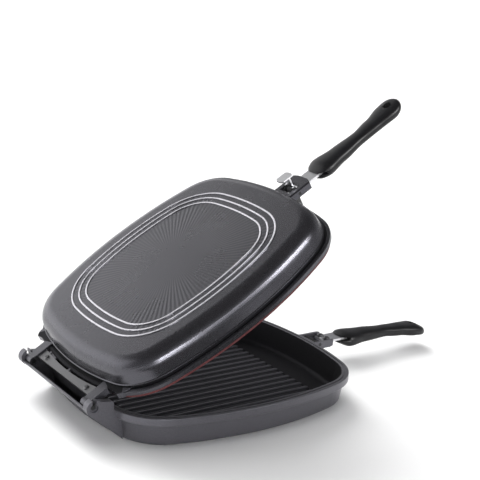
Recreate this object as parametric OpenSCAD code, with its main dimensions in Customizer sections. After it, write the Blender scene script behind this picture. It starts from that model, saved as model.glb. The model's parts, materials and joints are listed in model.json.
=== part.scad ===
// Double sided flip pan: two die-cast aluminium pans on one hinge, each with its own
// contoured handle, closed by a sprung latch between the handle brackets.
// Millimetres. +X runs from the hinge to the handles, +Z is up. The origin is the centre
// of the lower pan's base, on the surface that it stands on.

/* [Pan outline] */
// Length over the rim, hinge edge to handle edge
pan_l = 300; // [290:1:320]
// Width over the rim
pan_w = 266; // [256:1:280]
// Bow radius of the hinge edge and the handle edge
end_bow_r = 350; // [320:5:450]
// Bow radius of the two long edges
side_bow_r = 370; // [330:5:480]
// Corner radius at the rim
corner_r = 61; // [56:1:70]

/* [Lower pan] */
// Height of the lower pan's rim above its base
lower_h = 32.5; // [31:0.5:36]
// Thickness of the lower pan's floor
lower_floor_t = 4; // [3.5:0.25:4.5]
// Width of the flat top of the rim
rim_w = 7.6; // [7:0.1:9]
// Height of the rim flange
flange_h = 8.5; // [7:0.5:9.5]
// Draft of the walls, in degrees
wall_draft = 9; // [7:0.5:11]
// Distance of the base's flat from the outline
base_inset = 13.5; // [12.5:0.5:15]
// Outer fillet between wall and base
base_fillet = 6; // [5:0.5:7]
// Inner fillet between wall and floor
floor_fillet = 5; // [4:0.5:6]
// Distance between the grill ribs
rib_pitch = 11.3; // [10:0.1:13]
// Height of the grill ribs above the floor
rib_h = 2.6; // [2:0.1:3]
// Crest radius of the grill ribs
rib_r = 4.9; // [4.2:0.1:4.9]
// Half-length of the rib field
rib_field = 107; // [100:1:110]

/* [Upper pan] */
// Height of the upper pan from its rim to its base
upper_h = 32.3; // [31:0.1:36]
// Wall and floor thickness of the upper pan
upper_t = 4; // [3.5:0.1:4.3]
// Gap between the two rims with the pans closed
rim_gap = 3.5; // [3:0.1:4.5]
// Height of the upper flange
upper_flange_h = 5.3; // [5:0.1:6]
// Fillet between the upper pan's wall and its base
upper_fillet = 17; // [16:0.5:17.5]
// Distance of the upper base's flat from the outline
upper_base_inset = 24.5; // [24:0.5:27]
// How far the upper pan stands open, in degrees
open_angle = 31; // [0:1:60]

/* [Base rings] */
// Length of the outer raised ring
ring_l = 210.6; // [200:0.2:214]
// Width of the outer raised ring
ring_w = 193.6; // [186:0.2:196]
// Bow radius of the ring's short sides
ring_end_r = 327; // [300:1:360]
// Bow radius of the ring's long sides
ring_side_r = 282; // [260:1:320]
// Corner radius of the outer ring
ring_corner_r = 60; // [50:1:64]
// Distance from one ring to the next
ring_pitch = 8.1; // [7:0.1:9]
// Number of rings
ring_count = 3; // [1:1:3]
// Section radius of a ring's bead
bead_r = 1.5; // [1.2:0.1:1.8]
// Height of a bead above the base
bead_h = 1; // [0.6:0.1:1.1]

/* [Seal] */
// Width of the silicone seal
seal_w = 3.2; // [2.4:0.1:3.4]
// Distance of the seal from the outline
seal_inset = 2.2; // [2:0.1:2.4]
// Depth of the seal's groove in the upper rim
seal_depth = 2.4; // [2:0.1:2.6]
// Gap left between the seal and the lower rim
seal_gap = 0.3; // [0.3:0.05:0.5]

/* [Hinge] */
// Distance of the hinge axis outside the rim
hinge_reach = 16; // [15.5:0.1:17]
// Height of the hinge axis above the lower rim
hinge_rise = 6.8; // [6.5:0.1:7.5]
// Radius of the hinge pin
hinge_pin_r = 2.5; // [2.3:0.1:2.7]
// Running clearance of the hinge pin, on the radius
pin_clearance = 0.05; // [0.03:0.01:0.08]
// Radius of the barrel that holds the pin
barrel_r = 4.6; // [4.4:0.1:4.8]
// Radial gap between barrel and cradle
cradle_gap = 0.7; // [0.6:0.1:0.9]
// Height of the arms above the upper rim
gusset_h = 7.2; // [6.6:0.1:7.4]
// Wall of the cradle
cradle_t = 2.2; // [2:0.1:2.6]
// Half-width of the whole hinge
hinge_half = 77; // [74:1:80]
// Width of each cheek of the cradle
cheek_w = 8; // [7:0.5:9]
// Side gap between an arm and its cheek
side_gap = 0.6; // [0.4:0.1:0.8]
// Width of each hinge arm
arm_w = 12; // [10:0.5:13]
// Gap between the bar and the flange
bar_gap = 2.6; // [1:0.1:3]
// Thickness of the bar
bar_t = 3.2; // [2.8:0.1:3.6]
// Distance of each of the bar's screws from the middle
bar_screw_y = 43.5; // [38:0.5:46]

/* [Brackets] */
// Length of a bracket outside the rim
bracket_l = 29.5; // [29:0.5:31]
// Width of a bracket
bracket_w = 31; // [30:0.5:33]
// Thickness of the bracket walls
bracket_wall = 3.5; // [3:0.25:4]
// Thickness of the plate that the lower tang is screwed to
bracket_plate = 3; // [2.5:0.1:3.2]
// Thickness of the plate over the upper tang
upper_plate = 4; // [3.6:0.1:4.4]
// Length of the window that the latch works in
window_l = 15.5; // [15.5:0.25:16]
// Distance from the rim to that window
window_start = 1; // [0.8:0.1:1.2]

/* [Tangs and grips] */
// Thickness of the steel tang
tang_t = 2.5; // [2.2:0.1:2.6]
// Width of the tang outside the grip
tang_w = 19; // [18:0.5:20]
// Width of the tang inside the grip
tang_tail_w = 13; // [12:0.5:14]
// Length of the tang from its root to its tail
tang_l = 60; // [56:1:66]
// Distance from the rim to the front of the grip
grip_start = 42.5; // [42:0.5:46]
// Length of the grip
grip_l = 136; // [130:1:142]
// Radius of the hanging hole
hang_r = 5; // [4.5:0.25:5.5]
// Distance of the hanging hole from the end of the grip
hang_back = 15; // [14:0.5:17]
// Radius of the small screws' shanks
screw_r = 2; // [1.8:0.1:2.1]
// Radius of the small screws' heads
screw_head_r = 3.6; // [3.4:0.1:3.8]
// Radius of the grip screw's shank
grip_screw_r = 2.5; // [2.3:0.1:2.7]

/* [Latch] */
// Distance from the rim to the latch pin
latch_x = 9.5; // [9.3:0.1:9.7]
// Radius of the latch pin
latch_pin_r = 2; // [1.8:0.1:2.1]
// Thickness of the latch's sheet steel
latch_t = 1.6; // [1.4:0.1:1.8]
// Length of the thumb pad
pad_l = 17; // [14:0.5:18]
// Width of the thumb pad
pad_w = 13; // [10:0.5:15]
// Height of the thumb pad above the latch pin
pad_rise = 17.4; // [14:0.2:18]
// Radius of the catch pin
catch_r = 2; // [1.8:0.1:2.1]
// Wire radius of the latch spring
wire_r = 0.5; // [0.4:0.05:0.55]

/* [Hidden] */

coating = [0.27, 0.27, 0.30];
steel = [0.78, 0.78, 0.80];
bakelite = [0.10, 0.10, 0.11];
silicone = [0.62, 0.12, 0.12];

big_fn = 360;   // facets of a full turn of the bowed edges
fine_fn = 96;   // facets of corners and round features
hole_fn = 48;   // facets of holes, pins and screws

rim = [pan_l / 2, pan_w / 2, end_bow_r, side_bow_r, corner_r];
ring = [ring_l / 2, ring_w / 2, ring_end_r, ring_side_r, ring_corner_r];
rim_x = pan_l / 2;
upper_z = lower_h + rim_gap;
core_r = 5;                 // what the sweep leaves open round each corner centre
reach = corner_r - core_r;

hinge_x = -rim_x - hinge_reach;
hinge_z = lower_h + hinge_rise;
bore_r = hinge_pin_r + pin_clearance;
cradle_r = barrel_r + cradle_gap;
lobe_r = cradle_r + cradle_t;
cheek_r = lobe_r + 0.6;
cheek_y = hinge_half - cheek_w;
arm_y = cheek_y - side_gap - arm_w;

// ---- Bowed rounded rectangle: [half length, half width, end bow, side bow, corner] ----

function inset(o, d) = [o[0] - d, o[1] - d, o[2] - d, o[3] - d, o[4] - d];

// Centre of the corner arc, where it is tangent to both bowed edges
function corner_centre(o) =
    let (
        ex = o[0] - o[2],
        sy = o[1] - o[3],
        end_r = o[2] - o[4],
        side_r = o[3] - o[4],
        span = norm([ex, sy]),
        along = (end_r ^ 2 - side_r ^ 2 + span ^ 2) / (2 * span),
        across = sqrt(end_r ^ 2 - along ^ 2),
        u = [-ex, sy] / span
    ) [ex + along * u.x - across * u.y, along * u.y + across * u.x];

// Half length of the outline o at the distance y from its long axis
function half_length(o, y) =
    let (
        c = corner_centre(o),
        ex = o[0] - o[2],
        sy = o[1] - o[3],
        end_y = o[2] * c.y / norm([c.x - ex, c.y]),
        side_y = sy + o[3] * (c.y - sy) / norm([c.x, c.y - sy])
    )
    y < end_y ? ex + sqrt(o[2] ^ 2 - y ^ 2)
    : y < side_y ? c.x + sqrt(o[4] ^ 2 - (y - c.y) ^ 2)
    : sqrt(o[3] ^ 2 - (y - sy) ^ 2);

// Points of an arc, for profiles
function arc(centre, r, from, to, steps) =
    [for (i = [0:steps]) let (a = from + (to - from) * i / steps) centre + r * [cos(a), sin(a)]];

function to_thousandths(v) = [for (n = v) round(1000 * n) / 1000];

// Puts children at a point in three moves, which carries all of its decimals
module place(p) {
    whole = [round(p.x), round(p.y), 0];
    part = to_thousandths([p.x, p.y, 0] - whole);
    translate(whole) translate(part) translate([p.x, p.y, 0] - whole - part) children();
}

// A tall prism at the corner's centre, for cutting one bow or corner out of a full turn
module wedge(c, points) {
    place(c) translate([0, 0, -pan_l]) linear_extrude(2 * pan_l) polygon(points);
}

module turned(r) {
    rotate_extrude($fn = r > 100 ? big_fn : fine_fn) translate([r, 0]) mirror([1, 0]) children();
}

// Sweeps a profile round the outline: the profile's X is the distance inwards, its Y the height
module swept(o) {
    c = corner_centre(o);
    ex = o[0] - o[2];
    sy = o[1] - o[3];
    far = pan_l;
    e = 100 * [c.x - ex, c.y] / norm([c.x - ex, c.y]);
    s = 100 * [c.x, c.y - sy] / norm([c.x, c.y - sy]);
    for (flip_x = [0, 1]) mirror([flip_x, 0, 0]) {
        intersection() {
            translate([ex, 0, 0]) turned(o[2]) children();
            wedge(c, [[0, 0], e, [e.x, -far], [0, -far]]);
            mirror([0, 1, 0]) wedge(c, [[0, 0], e, [e.x, -far], [0, -far]]);
        }
        for (flip_y = [0, 1]) mirror([0, flip_y, 0]) intersection() {
            place(c) turned(o[4]) children();
            wedge(c, [[0, 0], e, [100, 100], s]);
        }
    }
    for (flip_y = [0, 1]) mirror([0, flip_y, 0]) intersection() {
        translate([0, sy, 0]) turned(o[3]) children();
        wedge(c, [[0, 0], s, [-far, s.y], [-far, 0]]);
        mirror([1, 0, 0]) wedge(c, [[0, 0], s, [-far, s.y], [-far, 0]]);
    }
}

// A level plate over the middle of the outline, under the sweep's inner edge
module core_plate(o, z, t) {
    over = core_r + 1;
    translate([0, 0, z]) linear_extrude(t) intersection() {
        translate([o[0] - o[2], 0]) circle(o[2] - o[4] + over, $fn = big_fn);
        translate([o[2] - o[0], 0]) circle(o[2] - o[4] + over, $fn = big_fn);
        translate([0, o[1] - o[3]]) circle(o[3] - o[4] + over, $fn = big_fn);
        translate([0, o[3] - o[1]]) circle(o[3] - o[4] + over, $fn = big_fn);
    }
}

// Extrudes an X-Z shape across the pan, centred on y, over the width w
module across(y, w) {
    translate([0, y + w / 2, 0]) rotate([90, 0, 0]) linear_extrude(w) children();
}

// The upper pan and all it carries are drawn closed and turned open about the hinge axis
module opened() {
    translate([hinge_x, 0, hinge_z]) rotate([0, -open_angle, 0])
        translate([-hinge_x, 0, -hinge_z]) children();
}

// ---- Lower pan ----

rim_round = 0.8;
groove_in = 3.4;
groove_w = 1.6;
groove_depth = 1;
flange_z = lower_h - flange_h;
draft = tan(wall_draft);
foot = [base_inset - base_fillet * cos(wall_draft), base_fillet - base_fillet * sin(wall_draft)];
inner_top = rim_w + rim_round * 0.5;
inner_drop = lower_h - rim_round - lower_floor_t - floor_fillet * (1 - sin(wall_draft));
inner_foot = inner_top + inner_drop * draft + floor_fillet * cos(wall_draft);

module lower_outer() {
    polygon(concat(
        [[reach, 0], [base_inset, 0]],
        arc([base_inset, base_fillet], base_fillet, 270, 180 + wall_draft, 8),
        [[foot.x - (flange_z - foot.y) * draft, flange_z]],
        [[rim_round, flange_z], [0, flange_z + rim_round]],
        arc([rim_round, lower_h - rim_round], rim_round, 180, 90, 3),
        [[reach, lower_h]]
    ));
}

module lower_cavity() {
    polygon(concat(
        [[reach, lower_h + 1], [inner_top - rim_round, lower_h + 1]],
        arc([inner_top - rim_round, lower_h - rim_round], rim_round, 90, 0, 3),
        arc([inner_foot, lower_floor_t + floor_fillet], floor_fillet, 180 + wall_draft, 270, 6),
        [[reach, lower_floor_t]]
    ));
    translate([groove_in, lower_h - groove_depth]) square([groove_w, groove_depth + 1]);
}

module ribs() {
    field = inset(rim, inner_foot + 2);
    side_limit = field[1] - rib_r;
    count = floor(side_limit / rib_pitch + 0.5);
    ball_z = lower_floor_t + rib_h - rib_r;
    clip_z = lower_floor_t - rib_h / 2;
    intersection() {
        translate([-rim_x, -pan_w / 2, clip_z]) cube([pan_l, pan_w, 2 * rib_h]);
        for (side = [-1, 1], i = [0:count - 1]) {
            y = (i + 0.5) * rib_pitch;
            half = min(rib_field, half_length(field, y + rib_r / 2)) - rib_r;
            translate([-half, side * y, ball_z]) rotate([0, 90, 0])
                cylinder(r = rib_r, h = 2 * half, $fn = hole_fn);
            for (end = [-1, 1]) translate([end * half, side * y, ball_z]) sphere(r = rib_r, $fn = hole_fn);
        }
    }
}

// ---- Handle brackets ----

bracket_end = rim_x + bracket_l;
bracket_root = rim_x - 7.5;
window_x = rim_x + window_start;
window_half = 9;
bracket_nose_r = 34;
bracket_chamfer = 1.4;
lower_plate_z = lower_h - 8;
upper_plate_z = upper_z + 9.5;
upper_wall_z = upper_z + 5;
upper_top_z = upper_plate_z + upper_plate;
lower_tang_z = lower_plate_z + bracket_plate;
upper_tang_z = upper_plate_z - tang_t;
channel_half = bracket_w / 2 - bracket_wall;

module bracket_plan() {
    intersection() {
        translate([bracket_root, -bracket_w / 2]) square([bracket_end - bracket_root, bracket_w]);
        translate([bracket_end - bracket_nose_r, 0]) circle(bracket_nose_r, $fn = fine_fn);
    }
}

// A long block over a bracket, chamfered along its two top edges
module chamfered_block(z, top) {
    half = bracket_w / 2;
    translate([bracket_root, 0, 0]) rotate([90, 0, 90]) linear_extrude(bracket_l + 10) polygon([
        [-half, z], [half, z], [half, top - bracket_chamfer], [half - bracket_chamfer, top],
        [bracket_chamfer - half, top], [-half, top - bracket_chamfer]
    ]);
}

module window_cut(z, h) {
    translate([window_x, -window_half, z]) cube([window_l, 2 * window_half, h]);
}

module lower_bracket() {
    nose_drop = 2.5;
    difference() {
        intersection() {
            translate([0, 0, lower_plate_z]) linear_extrude(lower_h - lower_plate_z) bracket_plan();
            across(0, bracket_w + 2) polygon([
                [bracket_root, lower_plate_z], [bracket_end - 8, lower_plate_z],
                [bracket_end, lower_plate_z + nose_drop], [bracket_end, lower_h], [bracket_root, lower_h]
            ]);
        }
        translate([rim_x + 1, -channel_half, lower_tang_z])
            cube([bracket_l + 1, 2 * channel_half, flange_h + 2]);
        window_cut(lower_plate_z - 1, bracket_plate + 2);
        tang_screw_places() cylinder(r = screw_r, h = 4 * lower_h, center = true, $fn = hole_fn);
        catch_place() cylinder(r = catch_r, h = bracket_w + 2, center = true, $fn = hole_fn);
    }
}

// The upper tang's screws come from below, in blind holes, so that the top stays whole
module upper_bracket() {
    difference() {
        intersection() {
            translate([0, 0, upper_wall_z]) linear_extrude(upper_top_z - upper_wall_z) bracket_plan();
            across(0, bracket_w + 2) polygon([
                [bracket_root, upper_wall_z], [bracket_end, upper_wall_z], [bracket_end, upper_top_z - 1],
                [bracket_end - 1, upper_top_z], [bracket_root, upper_top_z]
            ]);
            chamfered_block(upper_wall_z, upper_top_z);
        }
        translate([rim_x + 1, -channel_half, upper_wall_z - 1])
            cube([bracket_l + 1, 2 * channel_half, upper_plate_z - upper_wall_z + 1]);
        window_cut(upper_plate_z - 1, upper_plate + 2);
        tang_screw_places() translate([0, 0, upper_plate_z - 5])
            cylinder(r = screw_r, h = 5 + blind_depth, $fn = hole_fn);
        latch_place() cylinder(r = latch_pin_r, h = bracket_w + 2, center = true, $fn = hole_fn);
    }
}

// ---- Hinge ----

cradle_slope = 41;
cradle_lip = 200;
pocket_root = -rim_x + 16;
web_x = -rim_x + 5;
web_top = upper_z + gusset_h;

// Point at the distance r from the hinge axis, in the X-Z plane
function at_hinge(angle, r) = [hinge_x + r * cos(angle), hinge_z + r * sin(angle)];

function slope_end(start, x) = [x, start.y - (x - start.x) * tan(cradle_slope)];

module cradle_section() {
    outer = at_hinge(270 - cradle_slope, lobe_r);
    inner = at_hinge(270 - cradle_slope, cradle_r);
    polygon(concat(
        arc([hinge_x, hinge_z], lobe_r, cradle_lip, 270 - cradle_slope, 6),
        [slope_end(outer, pocket_root), slope_end(inner, pocket_root)],
        arc([hinge_x, hinge_z], cradle_r, 270 - cradle_slope, cradle_lip, 6)
    ));
}

module cheek_section() {
    inside = 0.96 * cheek_r;
    outer = at_hinge(270 - cradle_slope, inside);
    translate([hinge_x, hinge_z]) circle(cheek_r, $fn = fine_fn);
    polygon([
        outer, slope_end(outer, pocket_root), [pocket_root, lower_h - 0.5],
        [-rim_x + 9, lower_h - 0.5], [web_x, lower_h + 1], [web_x, web_top - 1.5],
        [web_x - 1.5, web_top], at_hinge(48, inside)
    ]);
}

hook_mouth = 1.68 * hinge_pin_r;
hook_recess = 2.5;

module cradle() {
    across(0, 2 * cheek_y + 2) cradle_section();
    for (side = [-1, 1]) difference() {
        across(side * (cheek_y + cheek_w / 2), cheek_w) cheek_section();
        hinge_axis() cylinder(r = bore_r, h = 2 * hinge_half + 2, center = true, $fn = fine_fn);
        translate([hinge_x - hook_mouth / 2, -hinge_half - 1, hinge_z])
            cube([hook_mouth, 2 * hinge_half + 2, 2 * cheek_r]);
        translate([hinge_x, side * hinge_half, hinge_z]) rotate([90, 0, 0])
            cylinder(r = bore_r + 1.8, h = 2 * hook_recess, center = true, $fn = fine_fn);
    }
}

module hinge_axis() {
    translate([hinge_x, 0, hinge_z]) rotate([90, 0, 0]) children();
}

module lower_pan() {
    color(coating) difference() {
        union() {
            swept(rim) lower_outer();
            core_plate(rim, 0, lower_h);
            lower_bracket();
            cradle();
        }
        swept(rim) lower_cavity();
        core_plate(rim, lower_floor_t, lower_h);
    }
    color(coating) ribs();
}

// ---- Upper pan: profile heights count up from its rim ----

notch_in = 6.4;
notch_h = 2.6;
shoulder_in = 5.4;
shoulder_h = 1;
upper_inner_in = 8.4;
upper_centre = [upper_base_inset, upper_h - upper_fillet];
shoulder_z = upper_flange_h - 0.3 + notch_h;
wall_start = [shoulder_in + 0.8, shoulder_z + 0.5 + shoulder_h + 0.6];
to_fillet = upper_centre - wall_start;
upper_draft = acos(upper_fillet / norm(to_fillet)) - atan2(to_fillet.y, to_fillet.x);
inner_fillet = upper_fillet - upper_t;
inner_bend_z = 9;
inner_bend = upper_centre.x - inner_fillet * cos(upper_draft)
    - (upper_centre.y + inner_fillet * sin(upper_draft) - inner_bend_z) * tan(upper_draft);

module upper_outer() {
    polygon(concat(
        [[reach, upper_h], [upper_base_inset, upper_h]],
        arc(upper_centre, upper_fillet, 90, 180 - upper_draft, 14),
        [wall_start, [shoulder_in, wall_start.y - 0.6]],
        [[shoulder_in, shoulder_z + 0.5], [notch_in, shoulder_z]],
        [[notch_in, upper_flange_h - 0.3], [4.2, upper_flange_h - 0.3], [3.2, upper_flange_h + 0.3]],
        [[rim_round, upper_flange_h], [0, upper_flange_h - rim_round]],
        [[0, rim_round], [rim_round, 0], [reach, 0]]
    ));
}

module upper_cavity() {
    polygon(concat(
        [[reach, -1], [upper_inner_in - rim_round, -1], [upper_inner_in - rim_round, 0]],
        [[upper_inner_in, rim_round], [inner_bend, inner_bend_z]],
        arc(upper_centre, inner_fillet, 180 - upper_draft, 90, 10),
        [[reach, upper_h - upper_t]]
    ));
    translate([seal_inset - seal_clear, -1]) square([seal_w + 2 * seal_clear, seal_depth + 1]);
}

module base_rings() {
    swept(ring) for (i = [0:ring_count - 1]) intersection() {
        translate([i * ring_pitch, upper_h + bead_h - bead_r]) circle(bead_r, $fn = 32);
        translate([i * ring_pitch - bead_r, upper_h - bead_h]) square([2 * bead_r, 3 * bead_h]);
    }
}

// Side view of an arm, from its barrel over the flange into the pan's wall
module arm_section() {
    top = upper_z + gusset_h;
    translate([hinge_x, hinge_z]) circle(barrel_r, $fn = fine_fn);
    polygon([
        at_hinge(105, 0.96 * barrel_r), [hinge_x + 4, top], [-rim_x + 19, top], [-rim_x + 19, upper_z + 0.8],
        [-rim_x + 8, upper_z + 0.4], at_hinge(-60, 0.96 * barrel_r)
    ]);
}

// Flat plate on the flange, outside each arm
module gusset_plan() {
    inner = arm_y + arm_w - 1;
    front = -rim_x + 7.4;
    polygon([
        [front, inner], [front + 1, cheek_y + cheek_w + side_gap], [front, cheek_y + cheek_w + 9],
        [front + 4, cheek_y + cheek_w + 13], [-rim_x + 34, cheek_y + cheek_w + 19], [-rim_x + 34, inner]
    ]);
}

bar_x = hinge_x + 6.2;
bar_z = upper_z + 2.2;
lug_w = 14;
bar_screw_x = bar_x + 5;

module bar_screw_places() {
    for (side = [-1, 1]) translate([bar_screw_x, side * bar_screw_y, bar_z + bar_t]) children();
}

// Lugs and a rib of the casting that carry the bar
module bar_lugs() {
    for (side = [-1, 1]) across(side * bar_screw_y, lug_w) polygon([
        [bar_x + 1, upper_z + 0.6], [bar_x + 1, bar_z], [-rim_x + 6, bar_z],
        [-rim_x + 10, upper_z + 0.6]
    ]);
    across(0, 4) polygon([
        [-rim_x - bar_gap - 1, upper_z + 0.6], [-rim_x - bar_gap - 1, bar_z], [-rim_x - bar_gap, bar_z],
        [-rim_x - bar_gap, bar_z + bar_t], [-rim_x + 2, bar_z + bar_t], [-rim_x + 4, upper_z + 0.6]
    ]);
}

module upper_hinge() {
    difference() {
        union() {
            for (side = [-1, 1]) across(side * (arm_y + arm_w / 2), arm_w) arm_section();
            for (flip = [0, 1]) mirror([0, flip, 0])
                translate([0, 0, upper_z + 1]) linear_extrude(gusset_h - 1) gusset_plan();
            bar_lugs();
        }
        hinge_axis() cylinder(r = hinge_pin_r, h = 2 * hinge_half, center = true, $fn = fine_fn);
        bar_screw_places() cylinder(r = bar_screw_r, h = 20, center = true, $fn = hole_fn);
    }
}

module upper_pan() {
    color(coating) opened() difference() {
        union() {
            translate([0, 0, upper_z]) {
                swept(rim) upper_outer();
                core_plate(rim, 0, upper_h);
                base_rings();
            }
            upper_bracket();
            upper_hinge();
        }
        translate([0, 0, upper_z]) {
            swept(rim) upper_cavity();
            core_plate(rim, -1, upper_h - upper_t + 1);
        }
    }
}

seal_clear = 0.1;

// The bowed rounded rectangle as one flat outline: four bows, less what lies outside the corner arcs
module outline(o) {
    c = corner_centre(o);
    ex = o[0] - o[2];
    sy = o[1] - o[3];
    e = pan_l * [c.x - ex, c.y] / norm([c.x - ex, c.y]);
    s = pan_l * [c.x, c.y - sy] / norm([c.x, c.y - sy]);
    difference() {
        intersection() {
            translate([ex, 0]) circle(o[2], $fn = big_fn);
            translate([-ex, 0]) circle(o[2], $fn = big_fn);
            translate([0, sy]) circle(o[3], $fn = big_fn);
            translate([0, -sy]) circle(o[3], $fn = big_fn);
        }
        for (flip_x = [0, 1], flip_y = [0, 1]) mirror([flip_x, 0, 0]) mirror([0, flip_y, 0])
            place(c) difference() {
                polygon([[0, 0], e, e + s, s]);
                circle(o[4], $fn = fine_fn);
            }
    }
}

module rim_seal() {
    color(silicone) opened() translate([0, 0, upper_z - rim_gap + seal_gap])
        linear_extrude(rim_gap - seal_gap + seal_depth - seal_clear) difference() {
            outline(inset(rim, seal_inset));
            outline(inset(rim, seal_inset + seal_w));
        }
}

// ---- Hinge pins, and the bar between the arms ----

bar_screw_r = 1.5;
pin_flat = 1.6 * hinge_pin_r;
pin_end = hinge_half - hook_recess + 0.5;

// A stub pin in one arm; its outer end has two flats, so that the upright pan lifts out of its hooks
module hinge_pin(side) {
    color(steel) opened() difference() {
        translate([hinge_x, side * (arm_y + pin_end) / 2, hinge_z]) rotate([90, 0, 0])
            cylinder(r = hinge_pin_r, h = pin_end - arm_y, center = true, $fn = fine_fn);
        for (face = [-1, 1])
            translate([hinge_x, side * (cheek_y - side_gap / 2 + 10), hinge_z + face * (pin_flat / 2 + 2)])
                cube([10, 20, 4], center = true);
    }
}

module near_hinge_pin() {
    hinge_pin(-1);
}

module far_hinge_pin() {
    hinge_pin(1);
}

module hinge_bar() {
    half = arm_y - 0.3;
    color(steel) opened() difference() {
        translate([bar_x, -half, bar_z]) cube([2 * hinge_reach, 2 * half, bar_t]);
        translate([end_bow_r - rim_x, 0, 0]) cylinder(r = end_bow_r + bar_gap, h = 2 * upper_z, $fn = big_fn);
        translate([bar_x - 1, -half - 1, bar_z + bar_t]) rotate([0, 45, 0])
            cube([1.2, 2 * half + 2, 1.2], center = true);
        bar_screw_places() cylinder(r = bar_screw_r, h = 20, center = true, $fn = hole_fn);
    }
}

module hinge_bar_screws() {
    color(steel) opened() bar_screw_places()
        pan_screw(bar_screw_r, 2.8, 1.6, bar_t + bar_z - upper_z - 0.6);
}

// ---- Tangs and their screws ----

tang_root = window_x + window_l + 1;
tang_shoulder = rim_x + grip_start + 9;
tang_screw_x = bracket_end - 6;
blind_depth = upper_plate - 1.2;
tang_screw_y = 5.6;
washer_t = 0.8;
head_h = 2.2;
grip_screw_x = rim_x + grip_start + 24;

module tang_screw_places() {
    for (side = [-1, 1]) translate([tang_screw_x, side * tang_screw_y, 0]) children();
}

module tang(z) {
    translate([0, 0, z]) difference() {
        union() {
            translate([tang_root, -tang_w / 2, 0]) cube([tang_shoulder - tang_root, tang_w, tang_t]);
            translate([tang_root, -tang_tail_w / 2, 0]) cube([tang_l - tang_tail_w / 2, tang_tail_w, tang_t]);
            translate([tang_root + tang_l - tang_tail_w / 2, 0, 0])
                cylinder(r = tang_tail_w / 2, h = tang_t, $fn = fine_fn);
        }
        tang_screw_places() cylinder(r = screw_r, h = 4 * tang_t, center = true, $fn = hole_fn);
        translate([grip_screw_x, 0, 0])
            cylinder(r = grip_screw_r, h = 4 * tang_t, center = true, $fn = hole_fn);
    }
}

// A pan-head screw: the head's seat is at z = 0, the shank points down
module pan_screw(r, head, h, shank) {
    translate([0, 0, -shank]) cylinder(r = r, h = shank, $fn = hole_fn);
    difference() {
        union() {
            cylinder(r = head, h = 0.6 * h, $fn = hole_fn);
            translate([0, 0, 0.6 * h]) cylinder(r1 = head, r2 = 0.7 * head, h = 0.4 * h, $fn = hole_fn);
        }
        for (turn = [0, 90]) rotate(turn)
            translate([-0.55 * head, -0.5, 0.5 * h]) cube([1.1 * head, 1, h]);
    }
}

module washer(r, hole, t) {
    difference() {
        cylinder(r = r, h = t, $fn = hole_fn);
        cylinder(r = hole, h = 4 * t, center = true, $fn = hole_fn);
    }
}

module lower_tang() {
    color(steel) tang(lower_tang_z);
}

module upper_tang() {
    color(steel) opened() tang(upper_tang_z);
}

module lower_tang_screws() {
    color(steel) tang_screw_places() translate([0, 0, lower_tang_z + tang_t + washer_t])
        pan_screw(screw_r, screw_head_r, head_h, tang_t + washer_t + bracket_plate - 0.4);
}

module upper_tang_screws() {
    color(steel) opened() tang_screw_places() translate([0, 0, upper_tang_z - washer_t]) mirror([0, 0, 1])
        pan_screw(screw_r, screw_head_r, head_h, tang_t + washer_t + blind_depth - 0.4);
}

module lower_tang_washers() {
    color(steel) tang_screw_places() translate([0, 0, lower_tang_z + tang_t])
        washer(screw_head_r + 0.5, screw_r, washer_t);
}

module upper_tang_washers() {
    color(steel) opened() tang_screw_places() translate([0, 0, upper_tang_z - washer_t])
        washer(screw_head_r + 0.5, screw_r, washer_t);
}

// ---- Grips: one lofted body each, flat on the side that faces the other grip ----

grip_x = rim_x + grip_start;
grip_gap = 0.6;
lower_grip_top = lower_h + rim_gap / 2 - grip_gap;
upper_grip_base = lower_h + rim_gap / 2 + grip_gap;
// Stations along the grip, as a share of its length
grip_at = [0, 0.1, 0.28, 0.52, 0.68, 0.86, 1];
// Half width, far side's depth and near side's set-back at each station
grip_half = [14.5, 17, 13, 10, 12, 15.5, 16];
grip_deep = [12.5, 16.8, 15.8, 15.3, 17, 20, 22.5];
grip_back = [2.5, 0.2, 1, 3, 4.2, 5.6, 10];
front_round = 7;
tail_round = 16;
loft_steps = 44;
loft_sides = 32;
loft_power = 2.6;

// Smooth value between the stations
function station(values, u, i = 0) =
    i >= len(grip_at) - 2 || u < grip_at[i + 1]
    ? let (t = (u - grip_at[i]) / (grip_at[i + 1] - grip_at[i]), s = t * t * (3 - 2 * t))
        values[i] + (values[i + 1] - values[i]) * s
    : station(values, u, i + 1);

// Rounding of the two ends
function end_round(s) =
    s < front_round ? 0.62 + 0.38 * sqrt(1 - (1 - s / front_round) ^ 2)
    : s > grip_l - tail_round ? sqrt(max(0, 1 - ((s - grip_l + tail_round) / tail_round) ^ 2))
    : 1;

function power_wave(v) = sign(v) * pow(abs(v), 2 / loft_power);

// Steps are closer at both ends, where the form turns quickly
function loft_s(i) = grip_l * (1 - cos(180 * i / loft_steps)) / 2;

function loft_ring(i) =
    let (
        s = min(loft_s(i), grip_l - 0.05),
        u = s / grip_l,
        e = end_round(s),
        back = station(grip_back, u),
        deep = station(grip_deep, u),
        mid = (back + deep) / 2,
        half_h = (deep - back) / 2 * (0.35 + 0.65 * e),
        half_w = station(grip_half, u) * e
    )
    [for (k = [0:loft_sides - 1])
        let (a = 360 * k / loft_sides)
        [s, half_w * power_wave(cos(a)), mid + half_h * power_wave(sin(a))]];

// Loft with its flat side at z = 0 and its depth upwards
module grip_body() {
    points = [for (i = [0:loft_steps]) each loft_ring(i)];
    front = [for (k = [0:loft_sides - 1]) k];
    tail = [for (k = [loft_sides - 1:-1:0]) loft_steps * loft_sides + k];
    skin = [for (i = [0:loft_steps - 1], k = [0:loft_sides - 1])
        let (
            a = i * loft_sides + k,
            b = i * loft_sides + (k + 1) % loft_sides
        ) each [[a, a + loft_sides, b], [b, a + loft_sides, b + loft_sides]]];
    polyhedron(points, concat([front, tail], skin));
}

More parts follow.
